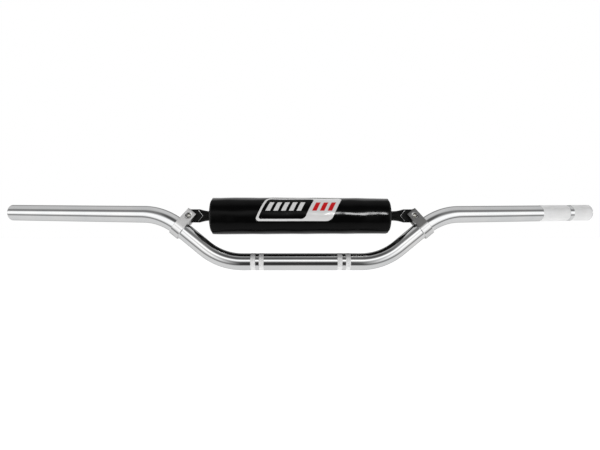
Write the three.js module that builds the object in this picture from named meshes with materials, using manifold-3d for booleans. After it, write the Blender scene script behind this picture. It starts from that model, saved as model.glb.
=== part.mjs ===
// An off-road motorcycle handlebar, in millimetres: a bent aluminium tube, a black crossbar with
// crushed ends held by two split clamps, and a round foam pad wrapped round the crossbar.
// X runs along the bar to the rider's left, Y back to the rider and Z up. The origin is on the
// tube's axis, half-way along the straight that the fork stem clamps.

import * as THREE from 'three';
import { mergeVertices } from 'three/addons/utils/BufferGeometryUtils.js';
import Module from 'manifold-3d';

const wasm = await Module();
wasm.setup();

// Clearance left between two pieces that touch on the real bar.
const GAP = 0.3;

// The bent tube: 7/8 inch outside, its corners before they are rounded, and the bend radius.
const TUBE_R = 11.1;
const TUBE_WALL = 3.5;
const BEND_R = 78;
const RISER_FOOT = [104.4, 0, 0];
const RISER_TOP = [179.8, 4, 61.3];
const GRIP_END = [411, 67, 65.3];
const STEPS_PER_BEND = 7;

// The split clamps: a ring round the tube with two tapered ears.
const CLAMP_ALONG_RISER = 69.8;
const CLAMP_WIDTH = 13;
const CLAMP_BORE_R = 11.6;
const CLAMP_RING_R = 13.4;
const EAR_TOP = 27.4;
const EAR_TOP_HALF = 8;
const BOLT_HEIGHT = 20;

// The crossbar: a 12.4 mm tube crushed flat at both ends.
const CROSS_R = 6.2;
const CROSS_WALL = 1.6;
const FLAT_HALF = 1.9;
const FLARE_START = 119;
const FLARE_END = 134.5;
const FLARE_STEPS = 6;
const END_PAST_BOLT = 5.5;
const END_BELOW_BOLT = 8.2;
const CORNER_STEEPNESS = 4;

// The M6 screws and their washers. Distances run back along the screw from the clamp's mid-plane.
const SCREW_R = 3;
const SCREW_HOLE_R = 3.3;
const SCREW_TIP = -7.6;
const SCREW_POINT = 0.8;
const SEAT = 7;
const SEAT_R = 5.4;
const WASHER_T = 1.6;
const PLAIN_WASHER_R = 5.1;
const SPRING_WASHER_R = 4.9;
const SPRING_SPLIT = 1;
const HEAD_R = 5;
const HEAD_HIGH = 6;
const HEAD_CHAMFER = 0.6;
const HEX_ACROSS_FLATS = 5;
const HEX_DEEP = 3;

// The pad: a slit foam core in a sleeve whose edges lap over at the lower back.
const PAD_X = -2;
const CORE_HALF_LENGTH = 116;
const CORE_R = 22;
const CORE_BORE_R = 6.6;
const CORE_MOUTH_R = 10;
const CORE_MOUTH_DEEP = 22;
const CORE_EDGE_R = 4;
const SLIT = 2;
const SLEEVE_LENGTH = 227;
const SLEEVE_T = 0.9;
const STRIP_T = 0.7;
const STRIP_MARGIN = 4;
const LAP_CENTRE = THREE.MathUtils.degToRad(-35);
const LAP_ANGLE = THREE.MathUtils.degToRad(40);
const LAP_RAMP = THREE.MathUtils.degToRad(25);
const LAP_LEAD = THREE.MathUtils.degToRad(5);
const STRIP_INSET = THREE.MathUtils.degToRad(3);

const ROUND_STEPS = 24;
const CUT = 60; // longer than anything it cuts

const FINISH = {
  polished: { color: 0xc8cacc, metalness: 1, roughness: 0.15 },
  satin: { color: 0xb4b6b4, metalness: 1, roughness: 0.4 },
  black: { color: 0x0d0d0e, metalness: 0.4, roughness: 0.35 },
  steel: { color: 0xa8a8a6, metalness: 1, roughness: 0.3 },
  foam: { color: 0x1a1a1c, metalness: 0, roughness: 0.95 },
  vinyl: { color: 0x0a0a0b, metalness: 0, roughness: 0.2 },
  tape: { color: 0x141416, metalness: 0, roughness: 0.9 },
};

const vector = (xyz) => new THREE.Vector3(...xyz);
const direction = (from, to) => to.clone().sub(from).normalize();

/** Straights joined by round bends. It is walked from station to station, not by length. */
class BentPath extends THREE.Curve {
  constructor(corners, bendRadius, stepsPerBend) {
    super();
    this.points = [];
    this.tangents = [];
    this.addStation(corners[0], direction(corners[0], corners[1]));
    for (let i = 1; i < corners.length - 1; i += 1) {
      this.addBend(corners[i - 1], corners[i], corners[i + 1], bendRadius, stepsPerBend);
    }
    this.addStation(corners.at(-1), direction(corners.at(-2), corners.at(-1)));
  }

  get steps() {
    return this.points.length - 1;
  }

  addStation(point, tangent) {
    this.points.push(point);
    this.tangents.push(tangent);
  }

  addBend(before, corner, after, radius, steps) {
    const into = direction(before, corner);
    const angle = into.angleTo(direction(corner, after));
    const axis = into.clone().cross(direction(corner, after)).normalize();
    const start = corner.clone().addScaledVector(into, -radius * Math.tan(angle / 2));
    const centre = start.clone().addScaledVector(axis.clone().cross(into), radius);
    for (let k = 0; k <= steps; k += 1) {
      const turned = (angle * k) / steps;
      const spoke = start.clone().sub(centre).applyAxisAngle(axis, turned);
      this.addStation(centre.clone().add(spoke), into.clone().applyAxisAngle(axis, turned));
    }
  }

  between(list, t, target) {
    const place = t * this.steps;
    const index = Math.min(Math.floor(place), this.steps - 1);
    return target.copy(list[index]).lerp(list[index + 1], place - index);
  }

  getPoint(t, target = new THREE.Vector3()) {
    return this.between(this.points, t, target);
  }

  getTangent(t, target = new THREE.Vector3()) {
    return this.between(this.tangents, t, target).normalize();
  }

  getUtoTmapping(u) {
    return u;
  }
}

/** A closed three.js geometry as a manifold-3d solid. */
function toSolid(geometry) {
  const bare = geometry.clone();
  bare.deleteAttribute('normal');
  bare.deleteAttribute('uv');
  const merged = mergeVertices(bare);
  return new wasm.Manifold(new wasm.Mesh({
    numProp: 3,
    vertProperties: merged.attributes.position.array,
    triVerts: Uint32Array.from(merged.index.array),
  }));
}

/** A manifold-3d solid as a three.js geometry. */
function toGeometry(solid) {
  const { vertProperties, triVerts } = solid.getMesh();
  const geometry = new THREE.BufferGeometry();
  geometry.setAttribute('position', new THREE.BufferAttribute(vertProperties, 3));
  geometry.setIndex(new THREE.BufferAttribute(triVerts, 1));
  geometry.computeVertexNormals();
  return geometry;
}

/** A round bar along X, from one X to another. */
function roundAlongX(radius, from, to, sides = ROUND_STEPS) {
  const bar = new THREE.CylinderGeometry(radius, radius, to - from, sides);
  return bar.rotateZ(-Math.PI / 2).translate((from + to) / 2, 0, 0);
}

/** A profile of [x, radius] points turned round X. It runs up the outside. */
function turnedAlongX(profile, steps = ROUND_STEPS) {
  const points = profile.map(([x, radius]) => new THREE.Vector2(radius, x));
  return new THREE.LatheGeometry(points, steps).rotateZ(-Math.PI / 2);
}

/** A flat ring round X. */
function washerAlongX(inner, outer, from, to) {
  return turnedAlongX([[from, outer], [to, outer], [to, inner], [from, inner], [from, outer]]);
}

/** A shape drawn in Y and Z, extruded along X about X = 0. */
function extrudedAlongX(shape, length) {
  const solid = new THREE.ExtrudeGeometry(shape, { depth: length, bevelEnabled: false });
  const yzx = new THREE.Matrix4().makeBasis(vector([0, 1, 0]), vector([0, 0, 1]), vector([1, 0, 0]));
  return solid.translate(0, 0, -length / 2).applyMatrix4(yzx);
}

/** The corners of the whole bar, from one grip end to the other. */
function barCorners() {
  const half = [RISER_FOOT, RISER_TOP, GRIP_END].map(vector);
  const other = half.map((point) => point.clone().setX(-point.x)).reverse();
  return [...other, ...half];
}

/** The bar: a round tube, open at both ends, along the bent path. */
function handlebarTube() {
  const path = new BentPath(barCorners(), BEND_R, STEPS_PER_BEND);
  const ring = new THREE.Shape().absarc(0, 0, TUBE_R, 0, 2 * Math.PI);
  ring.holes.push(new THREE.Path().absarc(0, 0, TUBE_R - TUBE_WALL, 0, 2 * Math.PI, true));
  const curveSegments = ROUND_STEPS / 2;
  return new THREE.ExtrudeGeometry(ring, { extrudePath: path, steps: path.steps, curveSegments });
}

/**
 * Where a clamp sits. The risers and the crossbar lie in one leaning plane. A clamp's own X points
 * back out of that plane, its Y from the tube's axis to the crossbar and its Z along the riser.
 */
function clampPlace(side) {
  const foot = vector(RISER_FOOT);
  const riser = direction(foot, vector(RISER_TOP));
  const origin = foot.addScaledVector(riser, CLAMP_ALONG_RISER);
  const back = vector([1, 0, 0]).cross(riser).normalize().negate();
  const up = back.clone().cross(riser).negate();
  origin.x *= side;
  up.x *= side;
  return new THREE.Matrix4().makeBasis(back, up, back.clone().cross(up)).setPosition(origin);
}

/** The clamp seen along the riser: a slit ring whose ears run straight up from it. */
function clampSection() {
  const reach = Math.hypot(EAR_TOP_HALF, EAR_TOP);
  const leaves = Math.atan2(EAR_TOP, EAR_TOP_HALF) - Math.acos(CLAMP_RING_R / reach);
  const slot = FLAT_HALF + GAP;
  const mouth = Math.asin(slot / CLAMP_BORE_R);
  const shape = new THREE.Shape();
  shape.moveTo(EAR_TOP_HALF, EAR_TOP);
  shape.lineTo(slot, EAR_TOP);
  shape.absarc(0, 0, CLAMP_BORE_R, Math.PI / 2 - mouth, mouth - 1.5 * Math.PI, true);
  shape.lineTo(-slot, EAR_TOP);
  shape.lineTo(-EAR_TOP_HALF, EAR_TOP);
  shape.absarc(0, 0, CLAMP_RING_R, Math.PI - leaves, 2 * Math.PI + leaves, false);
  return shape;
}

/** One clamp: bored for its screw, with a round seat sunk in the back ear for the washers. */
function clamp() {
  const block = new THREE.ExtrudeGeometry(clampSection(), {
    depth: CLAMP_WIDTH,
    bevelEnabled: false,
    curveSegments: ROUND_STEPS / 2,
  });
  block.translate(0, 0, -CLAMP_WIDTH / 2);
  const hole = roundAlongX(SCREW_HOLE_R, -CUT, CUT).translate(0, BOLT_HEIGHT, 0);
  const seat = roundAlongX(SEAT_R, SEAT, CUT).translate(0, BOLT_HEIGHT, 0);
  return toGeometry(toSolid(block).subtract(toSolid(hole)).subtract(toSolid(seat)));
}

/** Where the washers and the screw's head start, going back from the seat. */
const PLAIN_WASHER_FROM = SEAT + GAP;
const SPRING_WASHER_FROM = PLAIN_WASHER_FROM + WASHER_T + GAP;
const HEAD_FROM = SPRING_WASHER_FROM + WASHER_T + GAP;

/** An M6 socket head screw. Its point stops short of the front ear's face. */
function clampScrew() {
  const headEnd = HEAD_FROM + HEAD_HIGH;
  const body = turnedAlongX([
    [SCREW_TIP, 0],
    [SCREW_TIP, SCREW_R - SCREW_POINT],
    [SCREW_TIP + SCREW_POINT, SCREW_R],
    [HEAD_FROM, SCREW_R],
    [HEAD_FROM, HEAD_R],
    [headEnd - HEAD_CHAMFER, HEAD_R],
    [headEnd, HEAD_R - HEAD_CHAMFER],
    [headEnd, 0],
  ]);
  const hexCornerR = HEX_ACROSS_FLATS / Math.sqrt(3);
  const socket = roundAlongX(hexCornerR, headEnd - HEX_DEEP, headEnd + CUT, 6);
  return toGeometry(toSolid(body).subtract(toSolid(socket)));
}

/** The plain washer on the sunk seat. */
function plainWasher() {
  const from = PLAIN_WASHER_FROM;
  return washerAlongX(SCREW_HOLE_R, PLAIN_WASHER_R, from, from + WASHER_T);
}

/** The split spring washer under the head. */
function springWasher() {
  const from = SPRING_WASHER_FROM;
  const ring = washerAlongX(SCREW_HOLE_R, SPRING_WASHER_R, from, from + WASHER_T);
  const split = new THREE.BoxGeometry(CUT, CUT, SPRING_SPLIT).translate(0, CUT / 2, 0);
  return toGeometry(toSolid(ring).subtract(toSolid(split)));
}

/** Half the thickness of the crossbar at a distance from its middle. */
function crossbarHalfThickness(x) {
  const flattened = THREE.MathUtils.smoothstep(Math.abs(x), FLARE_START, FLARE_END);
  return THREE.MathUtils.lerp(CROSS_R, FLAT_HALF, flattened);
}

/**
 * The crossbar's surface, or its bore's when the wall is given. A section is two half circles
 * joined by straights, and it keeps the girth of the round tube as the tube is crushed.
 */
function crossbarSkin(wall, halfLength) {
  const flare = [];
  for (let k = 0; k <= FLARE_STEPS; k += 1) {
    flare.push(THREE.MathUtils.lerp(FLARE_START, FLARE_END, k / FLARE_STEPS));
  }
  const half = [...flare, halfLength];
  const stations = [...half.map((x) => -x).reverse(), ...half];
  const last = stations.length - 1;
  const skin = new THREE.CylinderGeometry(1, 1, 1, ROUND_STEPS, last);
  const position = skin.attributes.position;
  for (let i = 0; i < position.count; i += 1) {
    const x = stations[Math.round((position.getY(i) + 0.5) * last)];
    const sine = position.getX(i);
    const cosine = position.getZ(i);
    const thick = crossbarHalfThickness(x);
    const straight = ((CROSS_R - thick) * Math.PI) / 2;
    const side = THREE.MathUtils.clamp(CORNER_STEEPNESS * sine, -1, 1);
    position.setXYZ(i, x, (thick - wall) * cosine, straight * side + (thick - wall) * sine);
  }
  return skin;
}

/** The outline that the crossbar's ends are trimmed to, beside and square to the risers. */
function crossbarOutline(holeX, riserAngle) {
  const cos = Math.cos(riserAngle);
  const sin = Math.sin(riserAngle);
  const high = 2 * CROSS_R;
  const end = [
    [holeX + (END_PAST_BOLT - sin * high) / cos, high],
    [holeX + END_PAST_BOLT * cos + END_BELOW_BOLT * sin, END_PAST_BOLT * sin - END_BELOW_BOLT * cos],
    [holeX + (END_BELOW_BOLT - cos * high) / sin, -high],
  ];
  const other = end.map(([x, z]) => [-x, z]).reverse();
  return new THREE.Shape([...end, ...other].map(([x, z]) => new THREE.Vector2(x, z)));
}

/** The crossbar, with its screw holes through both crushed walls. */
function crossbar(holeX, riserAngle) {
  const halfLength = holeX + END_PAST_BOLT + END_BELOW_BOLT;
  const outline = new THREE.ExtrudeGeometry(crossbarOutline(holeX, riserAngle), {
    depth: CUT,
    bevelEnabled: false,
  });
  outline.rotateX(Math.PI / 2).translate(0, CUT / 2, 0);
  let bar = toSolid(crossbarSkin(0, halfLength)).subtract(toSolid(crossbarSkin(CROSS_WALL, halfLength + 1)));
  bar = bar.intersect(toSolid(outline));
  for (const x of [-holeX, holeX]) {
    const hole = new THREE.CylinderGeometry(SCREW_HOLE_R, SCREW_HOLE_R, CUT, ROUND_STEPS);
    bar = bar.subtract(toSolid(hole.translate(x, 0, 0)));
  }
  return toGeometry(bar);
}

/** The foam core: bored for the crossbar, with funnel mouths for its flares and a slit to open. */
function padCore() {
  const end = CORE_HALF_LENGTH;
  const mouthFrom = end - CORE_MOUTH_DEEP;
  const rounded = end - CORE_EDGE_R;
  const shoulder = CORE_EDGE_R * (1 - Math.SQRT1_2);
  const half = [
    [rounded, CORE_R],
    [end - shoulder, CORE_R - shoulder],
    [end, CORE_R - CORE_EDGE_R],
    [end, CORE_MOUTH_R],
    [mouthFrom, CORE_BORE_R],
  ];
  const other = half.map(([x, radius]) => [-x, radius]).reverse();
  const body = turnedAlongX([...half, ...other, half[0]]);
  const slit = new THREE.BoxGeometry(3 * end, CUT, SLIT).translate(0, CUT / 2, 0).rotateX(LAP_CENTRE);
  return toGeometry(toSolid(body).subtract(toSolid(slit)));
}

/** A curved wall round X: its inner radius is a function of the angle from Y towards Z. */
function wallShape(innerRadius, thickness, from, to) {
  const steps = Math.ceil((to - from) / (Math.PI / ROUND_STEPS));
  const inner = [];
  const outer = [];
  for (let k = 0; k <= steps; k += 1) {
    const angle = THREE.MathUtils.lerp(from, to, k / steps);
    const radius = innerRadius(angle);
    const ray = new THREE.Vector2(Math.cos(angle), Math.sin(angle));
    inner.push(ray.clone().multiplyScalar(radius));
    outer.push(ray.clone().multiplyScalar(radius + thickness));
  }
  return new THREE.Shape([...outer, ...inner.reverse()]);
}

const SLEEVE_R = CORE_R + GAP;
const LOOP_R = SLEEVE_R + SLEEVE_T + GAP;
const HOOK_R = LOOP_R + STRIP_T + GAP;
const LAP_R = HOOK_R + STRIP_T + GAP;
const LAP_FROM = LAP_CENTRE - LAP_ANGLE / 2;

/** The vinyl sleeve: once round the foam, then lifted to lap over its own first edge. */
function padSleeve() {
  const full = LAP_FROM + 2 * Math.PI;
  const lifted = full - LAP_LEAD;
  const radius = (angle) => {
    const rise = THREE.MathUtils.smoothstep(angle, lifted - LAP_RAMP, lifted);
    return THREE.MathUtils.lerp(SLEEVE_R, LAP_R, rise);
  };
  return extrudedAlongX(wallShape(radius, SLEEVE_T, LAP_FROM, full + LAP_ANGLE), SLEEVE_LENGTH);
}

/** A closure strip between the two laps of the sleeve. */
function padStrip(radius) {
  const from = LAP_FROM + STRIP_INSET;
  const to = LAP_FROM + LAP_ANGLE - STRIP_INSET;
  const shape = wallShape(() => radius, STRIP_T, from, to);
  return extrudedAlongX(shape, SLEEVE_LENGTH - 2 * STRIP_MARGIN);
}

/** A named piece in one of the finishes. */
function piece(name, geometry, finish) {
  const mesh = new THREE.Mesh(geometry, new THREE.MeshStandardMaterial(FINISH[finish]));
  mesh.name = name;
  return mesh;
}

/** One clamp with its screw and washers. */
function clampAssembly(side, sideName) {
  const group = new THREE.Group();
  group.applyMatrix4(clampPlace(side));
  group.add(piece(`clamp_${sideName}`, clamp(), 'satin'));
  const fastening = new THREE.Group();
  fastening.position.y = BOLT_HEIGHT;
  fastening.add(piece(`clamp_screw_${sideName}`, clampScrew(), 'steel'));
  fastening.add(piece(`plain_washer_${sideName}`, plainWasher(), 'steel'));
  fastening.add(piece(`spring_washer_${sideName}`, springWasher(), 'steel'));
  group.add(fastening);
  return group;
}

/** The pad's four pieces, centred on the crossbar's axis. */
function padAssembly() {
  const group = new THREE.Group();
  group.add(piece('pad_foam_core', padCore(), 'foam'));
  group.add(piece('pad_sleeve', padSleeve(), 'vinyl'));
  group.add(piece('pad_loop_strip', padStrip(LOOP_R), 'tape'));
  group.add(piece('pad_hook_strip', padStrip(HOOK_R), 'tape'));
  return group;
}

const leftClamp = clampPlace(1);
const screwCentre = new THREE.Vector3(0, BOLT_HEIGHT, 0).applyMatrix4(leftClamp);
const clampBack = new THREE.Vector3().setFromMatrixColumn(leftClamp, 0);
const riserAngle = vector([1, 0, 0]).angleTo(direction(vector(RISER_FOOT), vector(RISER_TOP)));

const crossbarMesh = piece('crossbar', crossbar(screwCentre.x, riserAngle), 'black');
crossbarMesh.position.set(0, screwCentre.y, screwCentre.z);
crossbarMesh.rotation.x = Math.atan2(clampBack.z, clampBack.y);

const pad = padAssembly();
pad.position.set(PAD_X, screwCentre.y, screwCentre.z);

const handlebar = new THREE.Group();
handlebar.add(piece('handlebar_tube', handlebarTube(), 'polished'));
handlebar.add(clampAssembly(1, 'left'));
handlebar.add(clampAssembly(-1, 'right'));
handlebar.add(crossbarMesh);
handlebar.add(pad);

export default handlebar;
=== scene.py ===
# %% [markdown]
# # An off-road handlebar with a crossbar pad
# The bar is a bent aluminium tube, polished bright. A black crossbar with crushed ends is held
# between its risers by two split clamps, and a round foam pad in a glossy sleeve sits on the
# crossbar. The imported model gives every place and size. This script makes the fine surfaces
# round it: each one is a function of two parameters, worked out as a numpy array.

import math

import bpy
import numpy as np
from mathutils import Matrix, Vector


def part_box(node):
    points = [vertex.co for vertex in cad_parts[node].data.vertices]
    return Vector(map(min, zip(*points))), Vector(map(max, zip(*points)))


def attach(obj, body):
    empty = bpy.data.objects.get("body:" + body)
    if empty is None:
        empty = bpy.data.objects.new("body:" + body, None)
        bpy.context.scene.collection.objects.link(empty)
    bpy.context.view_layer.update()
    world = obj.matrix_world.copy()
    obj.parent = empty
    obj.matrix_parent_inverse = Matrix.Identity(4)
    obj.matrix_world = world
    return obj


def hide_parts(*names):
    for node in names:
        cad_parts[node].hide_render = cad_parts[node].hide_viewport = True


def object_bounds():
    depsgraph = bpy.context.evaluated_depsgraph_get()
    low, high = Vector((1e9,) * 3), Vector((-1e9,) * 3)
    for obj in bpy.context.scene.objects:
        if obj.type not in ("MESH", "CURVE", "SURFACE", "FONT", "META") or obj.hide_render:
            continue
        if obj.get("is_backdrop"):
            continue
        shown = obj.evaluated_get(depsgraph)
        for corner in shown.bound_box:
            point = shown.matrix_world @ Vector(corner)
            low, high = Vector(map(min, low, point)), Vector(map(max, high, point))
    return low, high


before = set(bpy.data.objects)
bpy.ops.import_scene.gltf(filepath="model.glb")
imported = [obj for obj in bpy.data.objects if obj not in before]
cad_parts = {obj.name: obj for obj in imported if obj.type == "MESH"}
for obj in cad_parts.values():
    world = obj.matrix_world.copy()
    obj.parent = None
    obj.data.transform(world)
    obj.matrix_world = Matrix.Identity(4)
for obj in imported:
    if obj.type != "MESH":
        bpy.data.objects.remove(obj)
cad_box = [list(corner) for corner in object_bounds()]

# %% [markdown]
# ## The driving sizes
# The bar's centreline can't be read from a box round it, so its corners and its bend radius are
# repeated here from the design, in metres. Everything that sits on the bar is placed from them
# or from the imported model.

# %% Sizes in metres
TUBE_R = 0.0111
BORE_R = 0.0076
BEND_R = 0.078
RISER_FOOT = np.array([0.1044, 0.0, 0.0])
RISER_TOP = np.array([0.1798, 0.004, 0.0613])
GRIP_END = np.array([0.411, 0.067, 0.0653])
CLAMP_ALONG_RISER = 0.0698
BOLT_HEIGHT = 0.02
CROSS_R = 0.0062
FLAT_HALF = 0.0019
SIDES = {"left": 1.0, "right": -1.0}

pad_low, pad_high = (np.array(corner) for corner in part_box("pad_foam_core"))
PAD_CENTRE = (pad_low + pad_high) / 2
CORE_R = (pad_high[1] - pad_low[1]) / 2
CORE_HALF = (pad_high[0] - pad_low[0]) / 2
print("pad centre", PAD_CENTRE.round(4))
print("core radius", round(CORE_R, 4), "half length", round(CORE_HALF, 4))

# %% [markdown]
# ## The camera
# The bar is seen square from the front and from close by, so that its swept grips shrink a
# little towards their ends. A 30 mm lens on a 36 mm sensor gives that.

# %% Make the camera
camera_data = bpy.data.cameras.new("camera")
camera_data.lens = 30
camera_data.sensor_width = 36
camera = bpy.data.objects.new("camera", camera_data)
camera.location = (-0.0074, -0.649, 0.0476)
camera.rotation_euler = (math.radians(90), 0, math.radians(-0.44))
bpy.context.scene.collection.objects.link(camera)
bpy.context.scene.camera = camera
bpy.context.scene.view_settings.view_transform = "Standard"

# %% [markdown]
# ## Surfaces from grids
# Every new piece is a grid of points: rings of points one after another. `skin` joins each ring
# to the next with four-sided faces and writes the distance along and around as the UV map, in
# metres, so that a pattern can follow the piece. It turns the faces outward by the sign of the
# volume that they enclose.

# %% Helpers for meshes
def unit(vectors):
    """Each vector divided by its length."""
    return vectors / np.linalg.norm(vectors, axis=-1, keepdims=True)


def enclosed_volume(points, faces):
    """The signed volume under quads: a sixth of the triple product of each half face."""
    a, b, c, d = (points[faces[:, k]] for k in range(4))
    halves = np.cross(a, b) * c + np.cross(a, c) * d
    return halves.sum() / 6


def lengths_along(rings):
    """How far along each ring lies and how far around each point lies, as running sums."""
    along = np.linalg.norm(np.diff(rings.mean(axis=1), axis=0), axis=-1)
    middle = rings[len(rings) // 2]
    around = np.linalg.norm(np.diff(middle, axis=0, append=middle[:1]), axis=-1)
    return np.concatenate([[0], np.cumsum(along)]), np.concatenate([[0], np.cumsum(around)])


def new_object(name, points, faces, uv, smooth=True, crease_angle=None):
    """A mesh object from points, quads or other faces, and a UV pair for each face corner."""
    mesh = bpy.data.meshes.new(name)
    mesh.from_pydata(points.tolist(), [], [list(face) for face in faces])
    layer = mesh.uv_layers.new(name="UVMap")
    layer.data.foreach_set("uv", np.asarray(uv, dtype=np.float32).ravel())
    mesh.polygons.foreach_set("use_smooth", [smooth] * len(mesh.polygons))
    if crease_angle is not None:
        mesh.set_sharp_from_angle(angle=math.radians(crease_angle))
    mesh.update()
    piece = bpy.data.objects.new(name, mesh)
    bpy.context.scene.collection.objects.link(piece)
    return piece


def skin(name, rings, looped=False, caps="fan", uv_at=None, crease_angle=40):
    """
    A closed surface over rings[m, n, 3]. Each ring closes on itself. If looped, the last ring
    joins the first; otherwise each end is closed by a fan to its middle, by one face, or by faces
    across the ring.
    """
    m, n = rings.shape[:2]
    along, around = lengths_along(rings) if uv_at is None else uv_at
    rows = m if looped else m - 1
    i, j = (grid.ravel() for grid in np.meshgrid(np.arange(rows), np.arange(n), indexing="ij"))
    i2, j2 = (i + 1) % m, (j + 1) % n
    quads = np.stack([i * n + j, i * n + j2, i2 * n + j2, i2 * n + j], axis=1)
    if looped and len(along) == m:
        along = np.append(along, along[-1])
    corners = np.stack([
        np.stack([along[i + a], around[j + b]], axis=1) for a, b in ((0, 0), (0, 1), (1, 1), (1, 0))
    ], axis=1)
    points = rings.reshape(-1, 3)
    faces = quads.tolist()
    uv = corners.reshape(-1, 2)
    flip = enclosed_volume(points - points.mean(axis=0), quads) < 0
    if not looped:
        extra_points, extra_faces, extra_uv = end_caps(rings, caps, along, around)
        points = np.vstack([points, extra_points])
        faces += extra_faces
        uv = np.vstack([uv, extra_uv])
    if flip:
        starts = np.concatenate([[0], np.cumsum([len(face) for face in faces])])
        uv = np.vstack([uv[a:b][::-1] for a, b in zip(starts[:-1], starts[1:], strict=True)])
        faces = [face[::-1] for face in faces]
    return new_object(name, points, faces, uv, crease_angle=crease_angle)


def end_caps(rings, caps, along, around):
    """The points, faces and UVs that close the first and the last ring."""
    m, n = rings.shape[:2]
    new_points, faces, uv = [], [], []
    for row, first in ((0, True), (m - 1, False)):
        start = row * n
        if caps == "fan":
            centre = m * n + len(new_points)
            new_points.append(rings[row].mean(axis=0))
            for j in range(n):
                edge = [start + (j + 1) % n, start + j]
                face = [*edge, centre] if first else [*edge[::-1], centre]
                faces.append(face)
                uv += [[along[row], around[j]]] * 3
        elif caps == "face":
            face = list(range(start, start + n))
            faces.append(face[::-1] if first else face)
            uv += [[along[row], around[j]] for j in range(n)]
        else:
            for j in range(n // 2 - 1):
                face = [start + j, start + n - 1 - j, start + n - 2 - j, start + j + 1]
                faces.append(face if first else face[::-1])
                uv += [[along[row], around[j]]] * 4
    return np.array(new_points).reshape(-1, 3), faces, np.array(uv)


def install(piece, material, body, node=None):
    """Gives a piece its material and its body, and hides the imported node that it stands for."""
    piece.data.materials.append(material)
    if node is not None:
        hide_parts(node)
    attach(piece, body)
    print(piece.name, "faces", len(piece.data.polygons))


def drilled(piece, cutters):
    """The piece with each cutter taken away from it. The cutters are removed."""
    for cutter in cutters:
        drill = piece.modifiers.new("drill", "BOOLEAN")
        drill.object = cutter
        drill.operation = "DIFFERENCE"
        drill.solver = "EXACT"
        graph = bpy.context.evaluated_depsgraph_get()
        mesh = bpy.data.meshes.new_from_object(piece.evaluated_get(graph))
        piece.modifiers.clear()
        piece.data = mesh
        bpy.data.objects.remove(cutter)


print("camera at", tuple(round(v, 4) for v in camera.location))

# %% [markdown]
# ## Node materials
# A finish is a Principled shader whose colour, roughness and bump come from noise read along
# the piece's UV map or its object coordinates. `Wiring` keeps the making of nodes short. An input
# is given by its name, or by its number as i0, i1 and so on.

# %% Helpers for node trees
class Wiring:
    """Makes nodes in a node tree and wires them together."""

    def __init__(self, tree):
        self.tree = tree

    def node(self, kind, settings=None, **inputs):
        """A node with its settings, and its inputs set to values or linked to outputs."""
        node = self.tree.nodes.new(kind)
        for key, value in (settings or {}).items():
            setattr(node, key, value)
        for key, value in inputs.items():
            place = int(key[1:]) if key[1:].isdigit() else key.replace("_", " ")
            self.put(node.inputs[place], value)
        return node

    def put(self, socket, value):
        """Links an output to a socket, or sets the socket's value."""
        if isinstance(value, bpy.types.NodeSocket):
            self.tree.links.new(value, socket)
        else:
            socket.default_value = value

    def place(self, kind="Object", scale=(1, 1, 1)):
        """Coordinates of the given kind, stretched by scale."""
        source = self.node("ShaderNodeTexCoord").outputs[kind]
        return self.node("ShaderNodeMapping", Vector=source, Scale=scale).outputs["Vector"]

    def noise(self, place, scale, detail=4.0, roughness=0.5):
        """A noise value at each place."""
        settings = {"Vector": place, "Scale": scale, "Detail": detail, "Roughness": roughness}
        return self.node("ShaderNodeTexNoise", **settings).outputs["Fac"]

    def parts(self, vector):
        """The X, Y and Z of a vector."""
        return self.node("ShaderNodeSeparateXYZ", Vector=vector).outputs

    def attribute(self, name):
        """A number stored on the mesh."""
        return self.node("ShaderNodeAttribute", {"attribute_name": name}).outputs["Fac"]

    def math(self, operation, a, b=0.0, c=0.0):
        """One sum on two or three values."""
        node = self.node("ShaderNodeMath", {"operation": operation}, i0=a, i1=b, i2=c)
        return node.outputs["Value"]

    def product(self, first, *others):
        """All values multiplied."""
        for value in others:
            first = self.math("MULTIPLY", first, value)
        return first

    def between(self, value, low, high, start=0.0, end=1.0):
        """A value of start to end mapped to low to high."""
        node = self.node("ShaderNodeMapRange", Value=value)
        for key, number in (("From Min", start), ("From Max", end), ("To Min", low), ("To Max", high)):
            node.inputs[key].default_value = number
        return node.outputs["Result"]

    def mix(self, share, a, b):
        """Colour a, going to colour b as share goes to 1."""
        node = self.node("ShaderNodeMix", {"data_type": "RGBA"}, i0=share)
        self.put(node.inputs[6], a)
        self.put(node.inputs[7], b)
        return node.outputs[2]

    def bump(self, height, distance, strength=1.0, under=None):
        """A bump of the given height in metres, over another one if it is given."""
        node = self.node("ShaderNodeBump", Height=height, Distance=distance, Strength=strength)
        if under is not None:
            self.tree.links.new(under, node.inputs["Normal"])
        return node.outputs["Normal"]


class Finish(Wiring):
    """A material under construction, whose nodes end in its Principled shader."""

    def __init__(self, name, **sockets):
        self.material = bpy.data.materials.new(name)
        self.material.use_nodes = True
        super().__init__(self.material.node_tree)
        self.shader = self.tree.nodes["Principled BSDF"]
        for key, value in sockets.items():
            self.put(self.shader.inputs[key.replace("_", " ")], value)

    def done(self, **sockets):
        """Wires the shader's sockets and returns the material."""
        for key, value in sockets.items():
            self.put(self.shader.inputs[key.replace("_", " ")], value)
        return self.material


def grey(value, warm=0.0):
    """A grey with a little warmth, as RGBA."""
    return (value * (1 + warm), value, value * (1 - warm), 1)

# %% [markdown]
# ## The studio
# A polished tube has no colour of its own: what it shows is the room. Each stripe along it is a
# band of the room that the tube reflects, so the room is drawn as bands round the X axis: one set
# for what lies ahead, where |x| of the direction is small, and one for what lies aside. Dark
# bands are what the black cards of a studio do. The camera itself sees plain white.

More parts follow.
